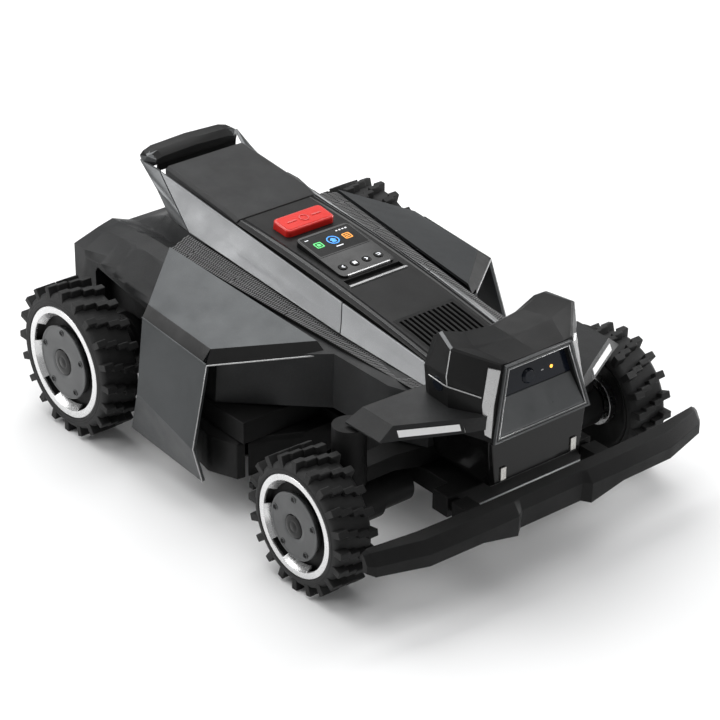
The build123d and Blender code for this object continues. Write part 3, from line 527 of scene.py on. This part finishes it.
def both(maker):
    """The same geometry on the left and on the right side."""
    return merged(*[maker(side) for side, _ in SIDES])


def panel_top(y):
    """Height of the control panel's surface on the spine."""
    return 265.4 + 0.05 * (y - 150.0) - 0.00019 * (y - 150.0) ** 2


def add(name, shape, body, slot, material, bevel=0.0):
    return soften(piece(name, *shape, body, slot, material), bevel, 2, 35)


POD_TOP = [(115, -66, 215), (204.5, 17, 199)]
POD_FLANGE = [(112, -80, 202.5), (218, 8, 186.5)]
CHAMFER_INNER = [(204.5, 17, 199), (205, 139, 207)]
CHAMFER_OUTER = [(218, 14, 188), (218, 133, 196)]
POD_FRONT = [(112, -80.6, 202), (218, 7.2, 186), (245, 0, 88), (231, 2, 38)]
# painted shade: a gloss black band on each pod's side chamfer, where the facet turns away from the light
add("pod_chamfer_shade", both(lambda side: ribbon(mirrored(CHAMFER_INNER, side), mirrored(CHAMFER_OUTER, side),
                                             (side, 0, 1), 0.3)), "chassis", "gloss_black", GLOSS, 0.2)
# painted shade: a black band over each pod's front flange, where the flange faces away from the light
add("pod_flange_shade", both(lambda side: ribbon(mirrored(POD_TOP, side), mirrored(POD_FLANGE, side),
                                            (0, -1, 1), 0.2, 1.6)), "chassis", "gloss_black", BLACK, 0.3)
# painted highlight: a light grey wire along each pod's front and lower edge
add("pod_lip_highlights", both(lambda side: wire(mirrored(POD_FRONT, side), 1.0)), "chassis", "trim_silver", PAINTED_HIGHLIGHT)
add("pod_shoulders", both(lambda side: wire(mirrored([(218.3, 8, 187), (218.3, 133, 196.6)], side), 0.9)),
    "chassis", "pod_grey", POD)

SPINE_ROWS = [154.5, 120.0, 80.0, 40.0, 0.0, -40.0, -80.0, -120.0, -160.0, -200.0, -222.0]


def panel_band(side, inner, outer):
    rows = [[(side * reach, y, panel_top(y)) for y in SPINE_ROWS] for reach in (inner, outer)]
    return ribbon(rows[0], rows[1], UP, 0.25)


add("panel_bands", both(lambda side: panel_band(side, 49.5, 55.8)), "chassis", "gloss_black", GLOSS)
add("panel_lines", both(lambda side: wire([(side * 56.2, y, panel_top(y) - 0.1) for y in SPINE_ROWS], 0.4)),
    "chassis", "trim_silver", BEZEL)
add("rail_lips", both(lambda side: wire([(side * (61.6 - max(0.0, -40 - y) * 0.02), y, panel_top(y) - 2.8)
                                         for y in SPINE_ROWS], 0.7)), "chassis", "gloss_black", GLOSS)

# transverse ribs of the mesh strips, in short segments
MESH_INNER = [(78.5, -222, 206.4), (91, 213, 234.4)]
MESH_OUTER = [(92, -206, 205.5), (129, 197, 232.6)]
RIBS, RIB_SEGMENT = 116, 6.5


def mesh_ribs(side):
    ribs = []
    for number in range(RIBS):
        share = (number + 0.5) / RIBS
        inner = Vector(between(*mirrored(MESH_INNER, side), share))
        outer = Vector(between(*mirrored(MESH_OUTER, side), share))
        reach = (outer - inner).length
        across = (outer - inner).normalized()
        count = max(int(reach / RIB_SEGMENT), 1)
        for segment in range(count):
            start = inner + across * (reach * segment / count + 0.5)
            end = inner + across * (reach * (segment + 1) / count - 0.5)
            shift = Vector((0, 1.0 if segment % 2 else -0.4, 0))
            ribs.append(ribbon([start + shift, end + shift],
                               [start + shift + Vector((0, 1.7, 0)), end + shift + Vector((0, 1.7, 0))],
                               UP, 0.7, 0.4))
    return merged(*ribs)


add("mesh_ribs", both(mesh_ribs), "chassis", "mesh_grey", MESH)

# painted shade: a dark sheet on the front of the carrying handle, standing in for the shadow behind it
add("handle_shade_sheet", skin([[(x, 320.4, 286), (x, 323.6, 287), (x, 325.0, 272), (x, 321.8, 270)]
                          for x in (-57, -40, 0, 40, 64)]), "chassis", "black_plastic", BLACK, 0.5)

# ---- stop button, screen and keys -----------------------------------------------------------------
STOP = Place((0, 103, 272.05), (0, -0.1345, 0.991))
ISLAND = Place((0, 24.5, 260.7), (0, -0.1454, 0.9893))
OCTAGON = [(math.cos(math.radians(22.5 + 45 * i)), math.sin(math.radians(22.5 + 45 * i))) for i in range(8)]
add("stop_plate", slab(STOP, rounded(33.2, 13.2, 4.4), -0.6, 0.5), "stop_button", "stop_red", RED_TOP, 0.4)
mark = merged(hoop(STOP, [(7.0 * u, 7.0 * v) for u, v in OCTAGON], [(5.2 * u, 5.2 * v) for u, v in OCTAGON],
                   0.3, 1.2),
              slab(STOP, rounded(7.0, 1.3, 1.0, (-18.5, 0)), 0.3, 1.2),
              slab(STOP, rounded(7.0, 1.3, 1.0, (18.5, 0)), 0.3, 1.2))
add("stop_mark", mark, "stop_button", "stop_red", RED, 0.2)
add("stop_seam", hoop(STOP, rounded(38.6, 18.6, 7.4), rounded(36.5, 16.5, 6.2), -16.1, -15.1),
    "chassis", "gloss_black", GLOSS)

GLASS_MIDDLE = 21.25
add("screen_frame", hoop(ISLAND, rounded(38.6, 22.4, 3.0, (0, GLASS_MIDDLE)),
                         rounded(36.6, 20.6, 2.2, (0, GLASS_MIDDLE)),
                         -0.4, 0.35), "chassis", "gloss_black", GLOSS, 0.15)
ICON_ROW = GLASS_MIDDLE + 1.0


def screen_icon(name, shape, material):
    add(name, shape, "chassis", "light_white", material)


screen_icon("icon_map", merged(hoop(ISLAND, rounded(5.6, 5.6, 2.0, (-22, ICON_ROW)),
                                    rounded(4.1, 4.1, 1.2, (-22, ICON_ROW)),
                                    0.0, 0.25),
                               slab(ISLAND, rounded(2.4, 2.4, 0.8, (-22, ICON_ROW)), 0.0, 0.25)), ICON_GREEN)
screen_icon("icon_home_ring", merged(
    hoop(ISLAND, circle(8.2, (0, ICON_ROW + 1)), circle(6.7, (0, ICON_ROW + 1)), 0.0, 0.25),
    slab(ISLAND, [(-4.6, ICON_ROW + 1), (4.6, ICON_ROW + 1), (0, ICON_ROW + 5.4)], 0.0, 0.25),
    slab(ISLAND, rounded(3.0, 2.2, 0.5, (0, ICON_ROW - 1.4)), 0.0, 0.25)), ICON_BLUE)
screen_icon("icon_tools", merged(
    hoop(ISLAND, rounded(5.6, 5.6, 2.0, (21, ICON_ROW)), rounded(4.1, 4.1, 1.2, (21, ICON_ROW)), 0.0, 0.25),
    slab(ISLAND, rounded(3.0, 0.8, 0.4, (21, ICON_ROW + 1.6)), 0.0, 0.25),
    slab(ISLAND, rounded(3.0, 0.8, 0.4, (21, ICON_ROW - 1.6)), 0.0, 0.25)), ICON_ORANGE)
marks = [slab(ISLAND, rounded(5.2, 0.8, 0.5, (0, GLASS_MIDDLE - 11.5)), 0.0, 0.25),
         slab(ISLAND, rounded(2.6, 0.7, 0.4, (-29.5, GLASS_MIDDLE + 15.5)), 0.0, 0.25)]
for number in range(4):
    marks.append(slab(ISLAND, rounded(1.3, 0.9 + 0.25 * (number % 2), 0.4,
                                      (16.0 + 4.6 * number, GLASS_MIDDLE + 15.5)),
                      0.0, 0.25))
screen_icon("screen_marks", merged(*marks), ICON_WHITE)

KEY_ROW, KEY_FACE = -29.0, 1.0


def key_bar(x, u, v, half_u, half_v):
    return slab(ISLAND, rounded(half_u, half_v, min(half_u, half_v) * 0.6, (x + u, KEY_ROW + v)),
                KEY_FACE - 0.1,
                KEY_FACE + 0.25)


def key_arrow(x, hand):
    """A chevron that points along u."""
    tip, tail = 1.9 * hand, -1.1 * hand
    outline = [(tip, 0), (tail, 2.7), (tail - 1.2 * hand, 2.0), (tip - 2.2 * hand, 0),
               (tail - 1.2 * hand, -2.0), (tail, -2.7)]
    return slab(ISLAND, [(x + u, KEY_ROW + v) for u, v in outline], KEY_FACE - 0.1, KEY_FACE + 0.25)


KEY_MARKS = {
    "back": [key_arrow(-27.0, -1)],
    "start": [key_bar(-9.0, -1.9, 0, 0.7, 2.6), key_bar(-9.0, 0, 0, 0.7, 2.6),
              key_bar(-9.0, 1.9, 0, 0.7, 2.6)],
    "confirm": [key_arrow(9.0, 1)],
    "home": [key_bar(27.0, 0.2, -1.3, 2.5, 0.6), key_bar(27.0, 2.1, 0.6, 0.6, 1.9),
             key_bar(27.0, -0.6, 1.9, 1.9, 0.6)],
}
for key, shapes in KEY_MARKS.items():
    add(f"{key}_key_mark", merged(*shapes), f"{key}_key", "light_white", ICON_WHITE)

# ---- camera head ----------------------------------------------------------------------------------
FACE = Place((0, -323, 179.1), (0, -0.9905, 0.1379))
FACE_TALL, FACE_LOW_HALF, FACE_TOP_HALF = 86.3, 72.0, 48.5


def face_outline(inset, low, high):
    """A trapezoid on the head's face, inside the bezel's outline."""
    def half(v):
        return FACE_LOW_HALF + (FACE_TOP_HALF - FACE_LOW_HALF) * v / FACE_TALL - inset
    return [(-half(low), low), (half(low), low), (half(high), high), (-half(high), high)]


def face_frame(inset, width, low, high):
    return hoop(FACE, face_outline(inset, inset, FACE_TALL - inset),
                face_outline(inset + width, inset + width, FACE_TALL - inset - width), low, high)


add("bezel_edge", face_frame(0.2, 0.7, -0.6, 0.35), "chassis", "trim_silver", ARM)
add("bezel_groove", face_frame(2.4, 1.1, -0.6, 0.22), "chassis", "gloss_black", GLOSS)
# painted highlight: a light grey line along the bezel's inner edge
add("bezel_inner_highlight", face_frame(5.2, 0.6, -1.6, 0.3), "chassis", "trim_silver", PAINTED_HIGHLIGHT)
LENS_U, LENS_V, GLASS_SET = -9.3, 60.0, -10.0
add("lens_ring", hoop(FACE, circle(8.8, (LENS_U, LENS_V)), circle(7.9, (LENS_U, LENS_V)), GLASS_SET - 1.0,
                      GLASS_SET + 0.5),
    "chassis", "steel", STEEL)
add("lens_inner_ring", hoop(FACE, circle(5.4, (LENS_U, LENS_V)), circle(4.7, (LENS_U, LENS_V)),
                            GLASS_SET - 3.0,
                            GLASS_SET - 0.6), "chassis", "steel", STEEL)
add("lens_pupil", slab(FACE, circle(4.6, (LENS_U, LENS_V)), GLASS_SET - 3.0, GLASS_SET - 1.4), "chassis",
    "lens_glass",
    GLASS, 0.8)
# the microphone slot as a light grey dash, a painted highlight
add("microphone", slab(FACE, rounded(1.8, 0.6, 0.5, (11.9, LENS_V)), GLASS_SET - 0.5, GLASS_SET + 0.25),
    "chassis",
    "trim_silver", PAINTED_HIGHLIGHT)

EAR_CREST = [(75, -235, 285), (88, -268, 282.4)]
EAR_OUTER = [(80, -235, 284.5), (92, -268, 281)]
CORNER_OUTER = [(64.8, -300, 263.5), (71.2, -300, 219), (72.6, -308, 186)]
CORNER_INNER = [(54.6, -309, 260.5), (64.6, -312, 221), (71.0, -317, 185)]
add("ear_tops", both(lambda side: ribbon(mirrored(EAR_CREST, side), mirrored(EAR_OUTER, side), UP, 0.3)),
    "chassis", "trim_silver", BEZEL, 0.2)
# painted highlight: a light grey wire down each ear's outer edge
add("ear_edge_highlights", both(lambda side: wire(mirrored([(92, -268.4, 280.6), (97, -268.4, 250),
        (95.4, -268.4, 237)], side), 0.7)),
    "chassis", "trim_silver", PAINTED_HIGHLIGHT)
add("head_corners", both(lambda side: ribbon(mirrored(CORNER_OUTER, side), mirrored(CORNER_INNER, side),
                                             (side, -1, 0), 1.5, 2.5)), "chassis", "trim_silver", TRIM, 0.3)
# painted highlight: a light grey wire along each cheek's lower lip
add("cheek_lip_highlights", both(lambda side: wire(mirrored([(95.4, -238, 239), (97.0, -268, 238), (73.2, -300, 229)],
        side), 0.8)),
    "chassis", "trim_silver", PAINTED_HIGHLIGHT)

# ---- fenders --------------------------------------------------------------------------------------
FENDER_TOP = [(100, -293.2, 208.4), (160, -258.4, 206.7)]
FENDER_LOW = [(100, -300.2, 193.8), (160, -266.2, 191.4)]


def fender_line(low_share, high_share, side):
    low = [between(t, b, low_share) for t, b in zip(FENDER_TOP, FENDER_LOW)]
    high = [between(t, b, high_share) for t, b in zip(FENDER_TOP, FENDER_LOW)]
    return ribbon(mirrored(low, side), mirrored(high, side), (0, -1, 0.3), 0.6, 1.0)


add("fender_lights", both(lambda side: fender_line(0.34, 0.80, side)), "chassis", "light_white", WHITE, 0.25)


# ---- floor, light and camera ----------------------------------------------------------------------
floor_mesh = bpy.data.meshes.new("floor")
floor_mesh.from_pydata([(-8, -8, 0), (8, -8, 0), (8, 12, 0), (-8, 12, 0)], [], [(0, 1, 2, 3)])
floor = bpy.data.objects.new("floor", floor_mesh)
scene.collection.objects.link(floor)
floor_mesh.materials.append(finish("floor_paint", grey(0.90), grey(0.92), 0.9, patch=1.0, bump=0.0))

WORLD_LIGHT = 0.30
world = bpy.data.worlds.new("studio")
world.use_nodes = True
world.node_tree.nodes["Background"].inputs["Color"].default_value = (0.98, 0.99, 1.0, 1.0)
world.node_tree.nodes["Background"].inputs["Strength"].default_value = WORLD_LIGHT
scene.world = world


def area_light(name, place, target, size, power, colour=(1, 1, 1)):
    lamp = bpy.data.lights.new(name, "AREA")
    lamp.shape = "RECTANGLE"
    lamp.size, lamp.size_y = size
    lamp.energy = power
    lamp.color = colour
    obj = bpy.data.objects.new(name, lamp)
    obj.location = place
    obj.rotation_mode = "QUATERNION"
    obj.rotation_quaternion = (Vector(target) - Vector(place)).to_track_quat("-Z", "Y")
    scene.collection.objects.link(obj)


area_light("overhead_soft", (0.2, 1.7, 3.1), (0.0, 0.0, 0.1), (4.2, 2.6), 112)
area_light("near_key", (-2.8, 2.0, 1.7), (0.0, 0.0, 0.15), (1.6, 1.2), 38)
area_light("far_strip", (3.0, -0.4, 0.9), (0.0, -0.1, 0.15), (0.9, 1.8), 62)
area_light("front_low", (0.6, -3.2, 0.7), (0.0, -0.1, 0.15), (1.6, 0.6), 6)
area_light("floor_wash", (-0.4, -1.0, 4.2), (0.0, 0.2, 0.0), (3.0, 3.0), 40)

CAMERA_PLACE = (-1.82256, -2.19435, 1.68790)
FOCAL_LENGTH, SENSOR_WIDTH = 135.91, 36.0
LENS_SHIFT = (0.0282, 0.0142)
AZIMUTH, ELEVATION, ROLL = (math.radians(a) for a in (-39.290, 28.980, 0.407))
back = Vector((math.sin(AZIMUTH) * math.cos(ELEVATION), -math.cos(AZIMUTH) * math.cos(ELEVATION),
               math.sin(ELEVATION)))
right = (-back).cross(UP).normalized()
up = right.cross(-back)
turned_right = right * math.cos(ROLL) + up * math.sin(ROLL)
turned_up = up * math.cos(ROLL) - right * math.sin(ROLL)
lens = bpy.data.cameras.new("camera")
lens.lens, lens.sensor_width = FOCAL_LENGTH, SENSOR_WIDTH
lens.shift_x, lens.shift_y = LENS_SHIFT
lens.clip_start, lens.clip_end = 0.1, 60.0
camera = bpy.data.objects.new("camera", lens)
camera.matrix_world = (Matrix.Translation(CAMERA_PLACE)
                       @ Matrix((turned_right, turned_up, back)).transposed().to_4x4())
scene.collection.objects.link(camera)
scene.camera = camera
scene.view_settings.view_transform = "Standard"
scene.view_settings.look = "None"
